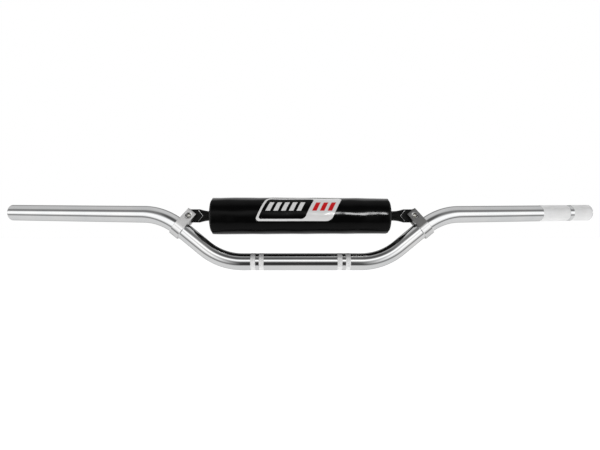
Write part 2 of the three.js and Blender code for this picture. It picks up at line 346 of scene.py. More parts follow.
# %% Floor, room and lights
FLOOR_DROP = 0.3
FLOOR_REACH = 12.0
FLOOR_GLOW = 0.62
OVERHEAD = {"place": (0, 0.3, 1.6), "aim": (0, 0, 0), "size": (2.2, 1.4), "power": 16}
AHEAD = 0.12
ASIDE = 0.32
MIDDLE_BANDS = [
    (-180, 0.95), (-160, 0.3), (-145, 0.66), (-60, 0.68), (-50, 0.5), (-42, 0.06),
    (-32, 0.03), (-14, 0.03), (-6, 0.06), (0, 0.25), (8, 0.65), (14, 1.15),
    (25, 1.15), (31, 0.35), (38, 0.12), (52, 0.08), (62, 0.12), (72, 0.4),
    (82, 0.6), (118, 0.6), (145, 0.12), (158, 0.2), (166, 1.1), (180, 0.95),
]
SIDE_BANDS = [
    (-180, 0.95), (-158, 0.28), (-140, 0.66), (-64, 0.7), (-54, 0.5), (-47, 0.22),
    (-40, 0.18), (-32, 0.4), (-22, 0.85), (-10, 1.1), (22, 1.1), (31, 0.65),
    (40, 0.22), (60, 0.18), (70, 0.42), (80, 0.55), (122, 0.55), (142, 0.2),
    (154, 0.3), (164, 1.1), (180, 0.95),
]


def floor_finish():
    """Pale matt paint with a very faint mottle."""
    finish = Finish("floor_paint", Roughness=0.9, Emission_Color=grey(1.0), Emission_Strength=FLOOR_GLOW)
    mottle = finish.noise(finish.place("Object"), 3.0)
    return finish.done(Base_Color=finish.mix(mottle, grey(0.93), grey(0.96)))


def make_floor():
    """A wide square under the bar that doesn't show in the polish."""
    square = FLOOR_REACH * np.array([[-1, -1], [1, -1], [1, 1], [-1, 1]])
    corners = np.column_stack([square, np.full(4, cad_box[0][2] - FLOOR_DROP)])
    floor = new_object("floor", corners, [[0, 1, 2, 3]], corners[:, :2], smooth=False)
    floor.data.materials.append(floor_finish())
    floor.visible_glossy = False
    floor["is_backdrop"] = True


def band_ramp(room, turn, bands):
    """A colour ramp over the turn round X. bands is a list of (degrees above the front, brightness)."""
    ramp = room.node("ShaderNodeValToRGB", Fac=turn)
    stops = ramp.color_ramp.elements
    for index, (degrees, value) in enumerate(bands):
        place = 0.5 + degrees / 360
        stop = stops[index] if index < 2 else stops.new(place)
        stop.position = place
        stop.color = grey(value)
    return ramp.outputs["Color"]


def make_room():
    """The world: one set of bands ahead, another to either side, and white for the camera."""
    world = bpy.data.worlds.new("room")
    bpy.context.scene.world = world
    world.use_nodes = True
    room = Wiring(world.node_tree)
    way = room.parts(room.node("ShaderNodeTexCoord").outputs["Generated"])
    front = room.math("MULTIPLY", way["Y"], -1.0)
    turn = room.math("DIVIDE", room.math("ARCTAN2", way["Z"], front), 2 * math.pi)
    turn = room.math("ADD", turn, 0.5)
    aside = room.between(room.math("ABSOLUTE", way["X"]), 0, 1, AHEAD, ASIDE)
    middle = band_ramp(room, turn, MIDDLE_BANDS)
    sides = band_ramp(room, turn, SIDE_BANDS)
    shown = room.node("ShaderNodeBackground", Color=room.mix(aside, middle, sides))
    seen = room.node("ShaderNodeBackground", Color=(1, 1, 1, 1))
    camera_ray = room.node("ShaderNodeLightPath").outputs["Is Camera Ray"]
    choose = room.node("ShaderNodeMixShader", i0=camera_ray, i1=shown.outputs[0], i2=seen.outputs[0])
    room.put(room.tree.nodes["World Output"].inputs["Surface"], choose.outputs[0])


def make_light(name, place, aim, size, power):
    """A soft rectangular light, aimed at a point."""
    data = bpy.data.lights.new(name, "AREA")
    data.shape = "RECTANGLE"
    data.size, data.size_y = size
    data.energy = power
    light = bpy.data.objects.new(name, data)
    light.location = place
    light.rotation_euler = (Vector(aim) - Vector(place)).to_track_quat("-Z", "Y").to_euler()
    bpy.context.scene.collection.objects.link(light)
    return light


make_floor()
make_room()
make_light("overhead", **OVERHEAD).visible_glossy = False
print("world", bpy.context.scene.world.name, "bands", len(MIDDLE_BANDS), len(SIDE_BANDS))

# %% [markdown]
# ## The bent tube's path
# Tube benders roll round one die, so every bend has the same radius: the path is straights joined
# by arcs. A bend starts at the corner less radius x tan(half the angle).

# %% The path
PATH_STEP = 0.002
BEND_STEPS = 40
FRONT = np.array([0.0, -1.0, 0.0])


def bent_path(corners, radius, straight_step, bend_steps):
    """
    Points and directions along straights joined by arcs. In an arc the point is
    centre - r cos(t) n + r sin(t) u, where u runs into the bend and n points to its centre.
    """
    points, directions = [], []
    start = corners[0]
    for before, corner, after in zip(corners[:-2], corners[1:-1], corners[2:], strict=True):
        u, w = unit(corner - before), unit(after - corner)
        angle = math.acos(float(np.clip(u @ w, -1, 1)))
        bend_start = corner - u * radius * math.tan(angle / 2)
        n = unit(w - u * (u @ w))
        centre = bend_start + n * radius
        count = max(2, round(np.linalg.norm(bend_start - start) / straight_step))
        share = np.linspace(0, 1, count, endpoint=False)
        points.append(start + share[:, None] * (bend_start - start))
        directions.append(np.broadcast_to(u, points[-1].shape))
        t = np.linspace(0, angle, bend_steps)[:, None]
        points.append(centre - radius * np.cos(t) * n + radius * np.sin(t) * u)
        directions.append(np.cos(t) * u + np.sin(t) * n)
        start = points[-1][-1]
    u = unit(corners[-1] - start)
    count = max(2, round(np.linalg.norm(corners[-1] - start) / straight_step))
    share = np.linspace(0, 1, count)[1:]
    points.append(start + share[:, None] * (corners[-1] - start))
    directions.append(np.broadcast_to(u, points[-1].shape))
    return np.vstack(points), np.vstack(directions)


def mirrored(point):
    """The point on the other side of the bar's middle."""
    return point * np.array([-1, 1, 1])


left_corners = [RISER_FOOT, RISER_TOP, GRIP_END]
bar_corners = np.array([mirrored(corner) for corner in left_corners[::-1]] + left_corners)
path_points, path_directions = bent_path(bar_corners, BEND_R, PATH_STEP, BEND_STEPS)
steps = np.linalg.norm(np.diff(path_points, axis=0), axis=1)
path_length = np.concatenate([[0], np.cumsum(steps)])
HALF_LENGTH = path_length[-1] / 2
print("path length", round(path_length[-1], 4))


def path_at(s):
    """The point and the direction at each distance from the bar's middle, along the path."""
    place = s + HALF_LENGTH
    point = np.stack([np.interp(place, path_length, path_points[:, k]) for k in range(3)], axis=-1)
    way = np.stack([np.interp(place, path_length, path_directions[:, k]) for k in range(3)], axis=-1)
    return point, unit(way)


def rings_round_path(s, radius, sides):
    """
    Rings round the bar: ring[i, j] = point(s_i) + r_ij (cos t_j a + sin t_j b), where a and b are
    square to the path, a pointing forward and b up. radius is r_i or r_ij.
    """
    point, way = path_at(s)
    forward = unit(FRONT - way * (way @ FRONT)[:, None])
    up = np.cross(forward, way)
    up *= np.sign(up[:, 2:3])
    t = np.linspace(0, 2 * np.pi, sides, endpoint=False)
    radius = np.broadcast_to(np.asarray(radius).reshape(len(s), -1), (len(s), sides))[..., None]
    spokes = np.cos(t)[:, None] * forward[:, None] + np.sin(t)[:, None] * up[:, None]
    return point[:, None] + radius * spokes


# %% [markdown]
# ## The polished tube
# The tube is one closed surface: out along the outside, over a rounded lip at the end, back
# through the bore and over the other lip. Where the knurling wheels have run, the outside dips a
# little, and the knurled metal is laid in as its own fine surface.

# %% Knurled zones and the tube
BAND_CENTRES = (0.0504, 0.0612)
BAND_SHIFT = -0.0017
BAND_HALF = 0.00315
GRIP_KNURL_LENGTH = 0.084
GRIP_RING_FROM_END = 0.0355
GRIP_RING_HALF = 0.0033
END_PLAIN = 0.0015
DIP = 0.0003
DIP_WALL = 0.00001
LIP = 0.0012
BORE_EDGE = 0.0004
BORE_STEPS = 120
PLAIN_STEP = 0.004
TUBE_SIDES = 112


def knurled_zones():
    """Each knurled stretch, as (start, end) along the path: four stem bands and two grip zones."""
    centres = [BAND_SHIFT + side * centre for side in (-1, 1) for centre in BAND_CENTRES]
    bands = [(centre - BAND_HALF, centre + BAND_HALF) for centre in centres]
    end = HALF_LENGTH - END_PLAIN
    ring = HALF_LENGTH - GRIP_RING_FROM_END
    grip = [(HALF_LENGTH - GRIP_KNURL_LENGTH, ring - GRIP_RING_HALF), (ring + GRIP_RING_HALF, end)]
    return sorted(bands), grip


stem_bands, grip_zones = knurled_zones()


def tube_profile():
    """The distance along and the radius of each ring: outside, right lip, bore, left lip."""
    plain = np.arange(-HALF_LENGTH + 2 * LIP, HALF_LENGTH - 2 * LIP, PLAIN_STEP)
    zones = stem_bands + grip_zones
    walls = np.array([[a, a + DIP_WALL, b - DIP_WALL, b] for a, b in zones]).ravel()
    s = np.sort(np.concatenate([plain, walls]))
    inside = np.any([(s > a + DIP_WALL / 2) & (s < b - DIP_WALL / 2) for a, b in zones], axis=0)
    radius = np.where(inside, TUBE_R - DIP, TUBE_R)
    turn = np.linspace(np.pi / 2, 0, 6)
    lip_s = HALF_LENGTH - LIP + LIP * np.cos(turn)
    lip_r = TUBE_R - LIP + LIP * np.sin(turn)
    bore = np.linspace(HALF_LENGTH - BORE_EDGE, -HALF_LENGTH + BORE_EDGE, BORE_STEPS)
    edge = np.array([[HALF_LENGTH, BORE_R + BORE_EDGE]])
    out = np.column_stack([s, radius])
    right = np.vstack([np.column_stack([lip_s, lip_r]), edge])
    inner = np.column_stack([bore, np.full(len(bore), BORE_R)])
    left = right[::-1] * np.array([-1, 1])
    profile = np.vstack([out, right, inner, left])
    return profile[:, 0], profile[:, 1]


def polished_finish():
    """Bright aluminium with fine polishing lines along the tube and faint handling marks."""
    finish = Finish("polished_aluminium", Metallic=1.0)
    lines = finish.noise(finish.place("UV", (14, 900, 1)), 1.0, 3.0, 0.6)
    marks = finish.noise(finish.place("Object"), 22.0, 5.0, 0.6)
    tint = finish.mix(finish.between(marks, 0, 1, 0.35, 0.7), grey(0.86, -0.012), grey(0.93, 0.004))
    lined = finish.between(lines, 0.05, 0.11, 0.3, 0.7)
    rough = finish.math("ADD", lined, finish.between(marks, 0, 0.05, 0.5, 0.75))
    return finish.done(Base_Color=tint, Roughness=rough, Normal=finish.bump(lines, 0.000012, 0.5))


s, r = tube_profile()
tube = skin("bar_tube", rings_round_path(s, r, TUBE_SIDES), looped=True, crease_angle=35)
install(tube, polished_finish(), "bar", node="handlebar_tube")

# %% [markdown]
# ## Knurling
# Two wheels press crossing helical grooves into the tube. Between the grooves stand small
# pyramids, so the height is the lower of two triangle waves, one for each family of grooves.

# %% Knurled metal
KNURL_ROUND = 44
KNURL_DEPTH = 0.00038
POINTS_PER_DIAMOND = 6
KNURL_STRETCH = 1.3
KNURL_FADE = 0.0006
CREST_CUT = 0.8
VALLEY_R = TUBE_R - 0.75 * DIP
UNDER_R = TUBE_R - DIP - 0.0003


def triangle_wave(x):
    """0 at whole numbers, 1 half-way between them."""
    return 1 - np.abs(2 * (x - np.floor(x)) - 1)


def knurled_ring(name, start, end):
    """
    A closed sleeve of knurled metal from start to end. Its outer radius is
    valley + depth x min(wave(around + along), wave(around - along)), fading out at both edges.
    """
    pitch = 2 * np.pi * TUBE_R / KNURL_ROUND
    step = pitch * KNURL_STRETCH / POINTS_PER_DIAMOND
    s = np.linspace(start, end, max(6, round((end - start) / step)))
    sides = KNURL_ROUND * POINTS_PER_DIAMOND
    around = np.arange(sides) * KNURL_ROUND / sides
    along = (s / (pitch * KNURL_STRETCH))[:, None]
    height = np.minimum(triangle_wave(around + along), triangle_wave(around - along + 0.5))
    edge = np.clip(np.minimum(s - start, end - s) / KNURL_FADE, 0, 1)[:, None]
    radius = VALLEY_R + KNURL_DEPTH * np.minimum(height, CREST_CUT) * edge
    under = np.full((2, sides), UNDER_R)
    rings = rings_round_path(np.concatenate([s, [end, start]]), np.vstack([radius, under]), sides)
    piece = skin(name, rings, looped=True, crease_angle=30)
    shade = piece.data.attributes.new("groove", "FLOAT", "POINT")
    shade.data.foreach_set("value", np.vstack([1 - height * edge, under * 0]).ravel().astype(np.float32))
    return piece


def joined(name, pieces):
    """Several pieces as one object."""
    with bpy.context.temp_override(active_object=pieces[0], selected_editable_objects=pieces):
        bpy.ops.object.join()
    pieces[0].name = name
    pieces[0].data.name = name
    return pieces[0]


def knurl_finish():
    """Dull bright metal, greyer in the grooves where the polishing wheel doesn't reach."""
    finish = Finish("knurled_aluminium", Metallic=0.4)
    groove = finish.attribute("groove")
    grime = finish.noise(finish.place("Object"), 60.0, 4.0, 0.6)
    deep = finish.math("MULTIPLY", groove, finish.between(grime, 0.5, 1.0, 0.3, 0.7))
    return finish.done(
        Base_Color=finish.mix(deep, grey(0.96), grey(0.72)),
        Roughness=finish.between(deep, 0.24, 0.5),
        Normal=finish.bump(grime, 0.00002, 0.4),
    )


knurled = knurl_finish()
for name, zones in (("stem_knurl_bands", stem_bands), ("grip_knurl", grip_zones)):
    parts = [knurled_ring(f"{name}_{k}", *zone) for k, zone in enumerate(zones)]
    install(joined(name, parts), knurled, "bar")

# %% [markdown]
# ## Where the clamps sit
# The risers and the crossbar lie in one leaning plane. A clamp's own axes are `back`, square to
# that plane, `up`, from the tube's axis to its screw, and `along`, down the riser.

# %% Clamp axes
RISER = unit(RISER_TOP - RISER_FOOT)


def clamp_axes(side):
    """The origin and the three axes of one clamp, as arrays."""
    back = -unit(np.cross([1.0, 0.0, 0.0], RISER))
    up = -np.cross(back, RISER)
    turn = np.array([side, 1, 1])
    origin = (RISER_FOOT + CLAMP_ALONG_RISER * RISER) * turn
    up = up * turn
    return origin, back, up, np.cross(back, up)


def placed(points, side, height=0.0):
    """Points given as (back, up, along) set in one clamp's place."""
    origin, back, up, along = clamp_axes(side)
    return origin + points[..., :1] * back + (points[..., 1:2] + height) * up + points[..., 2:] * along


screw_centre = placed(np.array([0.0, BOLT_HEIGHT, 0.0]), 1.0)
LEAN = math.atan2(clamp_axes(1.0)[1][2], clamp_axes(1.0)[1][1])
print("screw centre", screw_centre.round(4), "lean", round(math.degrees(LEAN), 2))

# %% [markdown]
# ## The split clamps
# A clamp is sawn from an extruded bar: a ring with two ears that taper to their tips. Its section
# is carried along the riser, with a narrow chamfer at both faces, and then it is drilled: a hole
# for the screw, a countersink at the front and a sunk seat at the back.

# %% Clamps
CLAMP_WIDTH = 0.013
CLAMP_BORE_R = 0.01125
CLAMP_RING_R = 0.0134
EAR_TOP = 0.0274
EAR_TOP_HALF = 0.008
SLOT_HALF = 0.0021
CORNER = 0.0007
EDGE = 0.00035
SCREW_HOLE_R = 0.0033
SEAT = 0.007
SEAT_R = 0.0054
COUNTERSINK = 0.0009
EAR_FROM = 0.0015
EAR_BLEND = 0.003
# Painted reflection: the grey of each clamp's flat ear faces, dark on the left clamp and light on the
# right. It stands in for what each face reflects; both clamps are the same part.
FACE_PAINTED_REFLECTION_GREYS = {"left": 0.2, "right": 0.72}
CUT_REACH = 0.03


def arc(centre, radius, start, end, count):
    """Points on a circle in the plane, from one angle to another, both in radians."""
    t = np.linspace(start, end, count)
    return np.stack([centre[0] + radius * np.cos(t), centre[1] + radius * np.sin(t)], axis=1)


def ear_foot():
    """
    Where an ear's flat face leaves the ring, as (back, up), and the angle of that place. The
    tangent from the ear's tip to a circle touches it at the tip's angle less acos(radius / reach).
    """
    reach = math.hypot(EAR_TOP_HALF, EAR_TOP)
    leaves = math.atan2(EAR_TOP, EAR_TOP_HALF) - math.acos(CLAMP_RING_R / reach)
    return CLAMP_RING_R * np.array([math.cos(leaves), math.sin(leaves)]), leaves


def clamp_section():
    """The clamp's outline in (back, up): ear tops, slot, bore and the tangents to the ring."""
    mouth = math.asin(SLOT_HALF / CLAMP_BORE_R)
    foot, leaves = ear_foot()
    slope = math.atan2(EAR_TOP - foot[1], EAR_TOP_HALF - foot[0])
    high = EAR_TOP - CORNER
    tip = arc((EAR_TOP_HALF - CORNER, high), CORNER, slope - math.pi / 2, math.pi / 2, 6)
    inner = arc((SLOT_HALF + CORNER, high), CORNER, math.pi / 2, math.pi, 6)
    face = foot + np.linspace(0, 1, 12, endpoint=False)[1:, None] * (tip[0] - foot)
    bore = arc((0, 0), CLAMP_BORE_R, math.pi / 2 - mouth, -math.pi / 2, 48)
    slot_top = inner[-1]
    slot = slot_top + np.linspace(0, 1, 12)[1:-1, None] * (bore[0] - slot_top)
    outer = arc((0, 0), CLAMP_RING_R, -math.pi / 2, leaves, 48)
    half = np.vstack([outer, face, tip, inner, slot, bore])
    other = half[::-1] * np.array([-1, 1])
    return np.vstack([half, other[1:-1]])


def inset(outline, depth):
    """A closed outline moved inward by depth, square to itself at each point."""
    ahead = np.roll(outline, -1, axis=0)
    behind = np.roll(outline, 1, axis=0)
    tangent = unit(unit(ahead - outline) + unit(outline - behind))
    area = np.sum(outline[:, 0] * ahead[:, 1] - ahead[:, 0] * outline[:, 1])
    inward = np.stack([-tangent[:, 1], tangent[:, 0]], axis=1) * np.sign(area)
    return outline + depth * inward


def turned(profile, sides):
    """
    A profile of (along, radius) carried round: (x, r cos t, r sin t). A point with radius 0 makes
    a pole.
    """
    t = np.linspace(0, 2 * np.pi, sides, endpoint=False)
    profile = np.asarray(profile, dtype=float)
    x = np.broadcast_to(profile[:, :1], (len(profile), sides))
    return np.stack([x, profile[:, 1:] * np.cos(t), profile[:, 1:] * np.sin(t)], axis=-1)


def cutter(profile, side):
    """A drill in a clamp's place: a turned profile whose axis is the screw's."""
    return skin("cutter", placed(turned(profile, 48), side, BOLT_HEIGHT), crease_angle=30)


def bore_offset(side, z):
    """How far (back, up) the tube's path lies from the clamp's axis, at a distance along it."""
    origin, back, up, along = clamp_axes(side)
    local = path_points - origin
    local = local[np.linalg.norm(local, axis=1) < 3 * CLAMP_WIDTH]
    local = local[np.argsort(local @ along)]
    return np.array([np.interp(z, local @ along, local @ axis) for axis in (back, up)])


def front_face_at(height):
    """How far forward the front ear's face lies at a height above the tube's axis."""
    foot, _ = ear_foot()
    share = (height - foot[1]) / (EAR_TOP - foot[1])
    return -(foot[0] + share * (EAR_TOP_HALF - foot[0]))


def clamp_finish(name, painted_reflection_grey):
    """
    Aluminium polished with the bar on the ring, and left semi-matt from the saw on the ears. The
    ear faces' grey is painted reflection: it is set per clamp, dark on one and light on the other,
    for what each face reflects, though both clamps are the same part. The ear attribute goes from
    0 on the ring to 1 on the flat faces.
    """
    finish = Finish(f"clamp_aluminium_{name}", Metallic=1.0)
    ear = finish.attribute("ear")
    grain = finish.noise(finish.place("Object"), 1400.0, 3.0, 0.6)
    cloud = finish.noise(finish.place("Object"), 90.0, 4.0, 0.6)
    patchy = finish.between(cloud, 0, 1, 0.3, 0.7)
    # Painted reflection: the ear faces' colour comes from the per-clamp grey, which stands in for how
    # bright each face's reflection is.
    satin_with_painted_reflection = finish.mix(patchy, grey(painted_reflection_grey * 0.9, 0.004), grey(painted_reflection_grey * 1.1, 0.008))
    bright = finish.mix(patchy, grey(0.82), grey(0.9))
    rough = finish.math("MULTIPLY_ADD", ear, finish.between(grain, 0.16, 0.3, 0.3, 0.7), 0.09)
    normal = finish.bump(grain, 0.00002, 0.4)
    return finish.done(Base_Color=finish.mix(ear, bright, satin_with_painted_reflection), Roughness=rough, Normal=normal)


def ear_share(clamp, side):
    """For each point of a clamp, 0 on the ring, 1 on the ears' faces and 0 in the screw's hole."""
    origin, _, up, along = clamp_axes(side)
    points = np.empty(len(clamp.data.vertices) * 3, dtype=np.float32)
    clamp.data.vertices.foreach_get("co", points)
    high, across = ((points.reshape(-1, 3) - origin) @ np.stack([up, along], axis=1)).T
    share = np.clip((high - EAR_FROM) / EAR_BLEND, 0, 1)
    share[np.hypot(high - BOLT_HEIGHT, across) < SCREW_HOLE_R + COUNTERSINK / 2] = 0
    return share.astype(np.float32)


def make_clamp(name, side):
    """One clamp: its section along the riser with chamfered faces, then drilled."""
    outline = clamp_section()
    half = CLAMP_WIDTH / 2
    on_bore = (np.hypot(outline[:, 0], outline[:, 1]) < CLAMP_BORE_R + 1e-6)[:, None]
    layers = [(outline, z) for z in np.linspace(-half + EDGE, half - EDGE, 9)]
    small = inset(outline, EDGE)
    layers = [(small, -half), *layers, (small, half)]
    rings = np.stack([
        np.column_stack([points + on_bore * bore_offset(side, z), np.full(len(points), z)])
        for points, z in layers
    ])
    clamp = skin(f"clamp_{name}_piece", placed(rings, side), caps="face", crease_angle=24)
    front = front_face_at(BOLT_HEIGHT)
    rim = SCREW_HOLE_R + COUNTERSINK
    hole = [
        (-CUT_REACH, 0), (-CUT_REACH, rim), (front, rim), (front + COUNTERSINK, SCREW_HOLE_R),
        (CUT_REACH, SCREW_HOLE_R), (CUT_REACH, 0),
    ]
    seat = [(SEAT, 0), (SEAT, SEAT_R), (CUT_REACH, SEAT_R), (CUT_REACH, 0)]
    drilled(clamp, [cutter(hole, side), cutter(seat, side)])
    ear = clamp.data.attributes.new("ear", "FLOAT", "POINT")
    ear.data.foreach_set("value", ear_share(clamp, side))
    return clamp


for name, side in SIDES.items():
    # Each clamp gets its own copy of the finish, with its painted reflection grey on the ear faces.
    satin_with_painted_reflection = clamp_finish(name, FACE_PAINTED_REFLECTION_GREYS[name])
    install(make_clamp(name, side), satin_with_painted_reflection, "bar", node=f"clamp_{name}")

# %% [markdown]
# ## The crossbar
# The crossbar starts as a round tube and its ends are crushed between two dies. Its girth can't
# change, so as its thickness goes down its height goes up. The die's edge leaves a V-shaped
# crease, whose point reaches furthest towards the middle, half-way up.

# %% Crossbar
CROSS_WALL = 0.0016
FLAT_FROM = 0.1355
CREASE_REACH = 0.007
CRUSH_LENGTH = 0.0135
END_PAST_BOLT = 0.0055
END_BELOW_BOLT = 0.0082
STEEPNESS = 5.0
LEVEL_LEAD = 0.4
FLAT_HIGH = (CROSS_R - FLAT_HALF) * math.pi / 2 + FLAT_HALF
FLAT_START = FLAT_FROM + 0.001
ROUND_FROM = FLAT_FROM - CREASE_REACH - CRUSH_LENGTH
END_SOFTNESS = 0.0012
CRACK_HALF = 0.00055
CROSS_SIDES = 96


def height_share(t):
    """How high a point at angle t ends up on the crushed end: 0 at half height, 1 at the edges."""
    side = np.clip(STEEPNESS * np.sin(t), -1, 1)
    return np.abs((FLAT_HIGH - FLAT_HALF) * side + FLAT_HALF * np.sin(t)) / FLAT_HIGH


def crushed_section(x, t, wall):
    """
    (thickness, height) offsets of the crossbar at x and angle t. A section is two half circles
    joined by straights: y = w cos t, z = s clip(k sin t) + w sin t, where s = pi (R - w) / 2
    keeps the girth. w goes from R to the flat's half thickness, from the crease inwards.
    """
    round_share = np.sin(np.clip(-crease_distance(x, t) / CRUSH_LENGTH, 0, 1) * np.pi / 2)
    before_flat = FLAT_FROM - LEVEL_LEAD * CREASE_REACH - np.abs(x)
    level = np.sin(np.clip(before_flat / CRUSH_LENGTH, 0, 1) * np.pi / 2)
    thick = FLAT_HALF + (CROSS_R - FLAT_HALF) * round_share
    straight = (CROSS_R - FLAT_HALF) * (1 - level) * np.pi / 2
    side = np.clip(STEEPNESS * np.sin(t), -1, 1)
    high = FLAT_HALF + (CROSS_R - FLAT_HALF) * level
    return (thick - wall) * np.cos(t), straight * side + (high - wall) * np.sin(t)


def trimmed_end(z, bolt_x):
    """Where the end lies at each height: short of two cuts, one along the riser and one across it."""
    angle = math.acos(float(RISER[0]))
    sin, cos = math.sin(angle), math.cos(angle)
    beside = (END_PAST_BOLT - sin * z) / cos
    below = (END_BELOW_BOLT + cos * z) / sin
    apart = np.abs(beside - below)
    return bolt_x + np.minimum(beside, below) - END_SOFTNESS * np.exp(-apart / END_SOFTNESS) / 2


def crease_distance(x, t):
    """How far a point lies past the die's crease, in metres: positive on the flat end."""
    return np.abs(x) - (FLAT_FROM - CREASE_REACH * (1 - height_share(t)))


def crossbar_wall(wall, bolt_x, t):
    """One wall of the crossbar, outer or inner, as rings from left to right."""
    middle = np.concatenate([
        np.linspace(-FLAT_START, -ROUND_FROM, 64, endpoint=False),
        np.linspace(-ROUND_FROM, ROUND_FROM, 30, endpoint=False),
        np.linspace(ROUND_FROM, FLAT_START, 65),
    ])[:, None]
    y, z = crushed_section(middle, t[None, :], wall)
    x = np.broadcast_to(middle, y.shape)
    end_y, end_z = crushed_section(np.array([[FLAT_START]]), t[None, :], wall)
    share = np.linspace(0, 1, 10)[1:, None]
    end_x = FLAT_START + share * (trimmed_end(end_z, bolt_x) - FLAT_START)
    end_y = np.broadcast_to(end_y, end_x.shape)
    end_z = np.broadcast_to(end_z, end_x.shape)
    right = np.stack([end_x, end_y, end_z], axis=-1)
    return np.vstack([mirrored(right[::-1]), np.stack([x, y, z], axis=-1), right])


def crossbar_place(points):
    """Points about the crossbar's own axis, leaned back with the risers and set on its line."""
    cos, sin = math.cos(LEAN), math.sin(LEAN)
    y = points[..., 1] * cos - points[..., 2] * sin
    z = points[..., 1] * sin + points[..., 2] * cos
    return np.stack([points[..., 0], y, z], axis=-1) + np.array([0, screw_centre[1], screw_centre[2]])


def black_finish():
    """
    Black anodising: a dark film whose gloss varies, with fine scuffs. Along the crease, at
    |x| = start + slope x |height|, the film has cracked and bright metal shows in patches.
    """
    finish = Finish("black_anodising", Specular_IOR_Level=0.12)
    place = finish.place("Object")
    cloud = finish.noise(place, 120.0, 4.0, 0.6)
    scuffs = finish.noise(finish.place("UV", (60, 900, 1)), 1.0, 5.0, 0.7)
    leaning = (0.0, -math.sin(LEAN), math.cos(LEAN))
    dot = finish.node("ShaderNodeVectorMath", {"operation": "DOT_PRODUCT"}, i0=place, i1=leaning)
    centre = leaning[1] * screw_centre[1] + leaning[2] * screw_centre[2]
    rise = finish.math("SUBTRACT", dot.outputs["Value"], float(centre))
    height = finish.math("ABSOLUTE", rise)
    across = finish.math("ABSOLUTE", finish.parts(place)["X"])
    start = finish.math("SUBTRACT", across, FLAT_FROM - CREASE_REACH)
    past = finish.math("MULTIPLY_ADD", height, -CREASE_REACH / FLAT_HIGH, start)
    crack = finish.product(
        finish.between(finish.math("ABSOLUTE", past), 1, 0, CRACK_HALF * 0.5, CRACK_HALF),
        finish.between(finish.noise(place, 700.0, 3.0, 0.6), 0.3, 1, 0.35, 0.55),
        finish.between(rise, 0.35, 1, -0.003, 0.001),
        finish.between(height, 1, 0, FLAT_HIGH * 0.78, FLAT_HIGH * 0.86),
    )
    worn = finish.between(scuffs, 0, 1, 0.66, 0.8)
    film = finish.mix(worn, grey(0.003), grey(0.014))
    return finish.done(
        Base_Color=finish.mix(crack, film, grey(0.85)),
        Metallic=crack,
        Roughness=finish.between(cloud, 0.24, 0.4, 0.3, 0.7),
        Normal=finish.bump(scuffs, 0.00003, 0.4),
    )


ring_t = (np.arange(CROSS_SIDES) + 0.5) * 2 * np.pi / CROSS_SIDES
outer = crossbar_wall(0.0, screw_centre[0], ring_t)
inner = crossbar_wall(CROSS_WALL, screw_centre[0], ring_t)[::-1]
walls = crossbar_place(np.vstack([outer, inner]))
crossbar = skin("crossbar_piece", walls, looped=True, crease_angle=32)
through = [(-CUT_REACH, 0), (-CUT_REACH, SCREW_HOLE_R), (CUT_REACH, SCREW_HOLE_R), (CUT_REACH, 0)]
drilled(crossbar, [cutter(through, side) for side in SIDES.values()])
install(crossbar, black_finish(), "bar", node="crossbar")

# %% [markdown]
# ## Screws and washers
# The screws go in from the back, so the front shows the point of the thread down in its hole. A
# turned profile makes all of a screw: the thread is a triangle wave wound round the shank, and
# the socket is the same turning with a six-sided radius.

# %% Screws
SCREW_R = 0.003
SCREW_TIP = -0.0066
DOME_HIGH = 0.0009
PITCH = 0.001
THREAD_DEPTH = 0.0004
THREAD_END = 0.004
TAPER_DEPTH = 0.0006
TAPER_LENGTH = 0.0008
BEVEL = 0.0003
PLAY = 0.00005
WASHER_T = 0.0016
GAP = 0.0003
PLAIN_FROM = SEAT + GAP
SPRING_FROM = PLAIN_FROM + WASHER_T + GAP
HEAD_FROM = SPRING_FROM + WASHER_T + GAP
HEAD_R = 0.005
HEAD_HIGH = 0.006
HEX_HALF = 0.0025
HEX_DEEP = 0.003
HEAD_GRIPS = 32
GRIP_DEPTH = 0.00014
TIP_R = SCREW_R - 0.0009
SCREW_SIDES = 96
PLAIN_WASHER_R = 0.0051
SPRING_WASHER_R = 0.0049
WASHER_CORNER = 0.0002
WASHER_SIDES = 72
WIRE_SHARE = 0.82
WIRE_STEPS = 80
SPLIT_ANGLE = 0.24


def hexagon(radius, t):
    """The radius of a hexagon whose flats lie at the given distance: radius / cos(t from a flat)."""
    sixth = np.pi / 3
    return radius / np.cos((t % sixth) - sixth / 2)


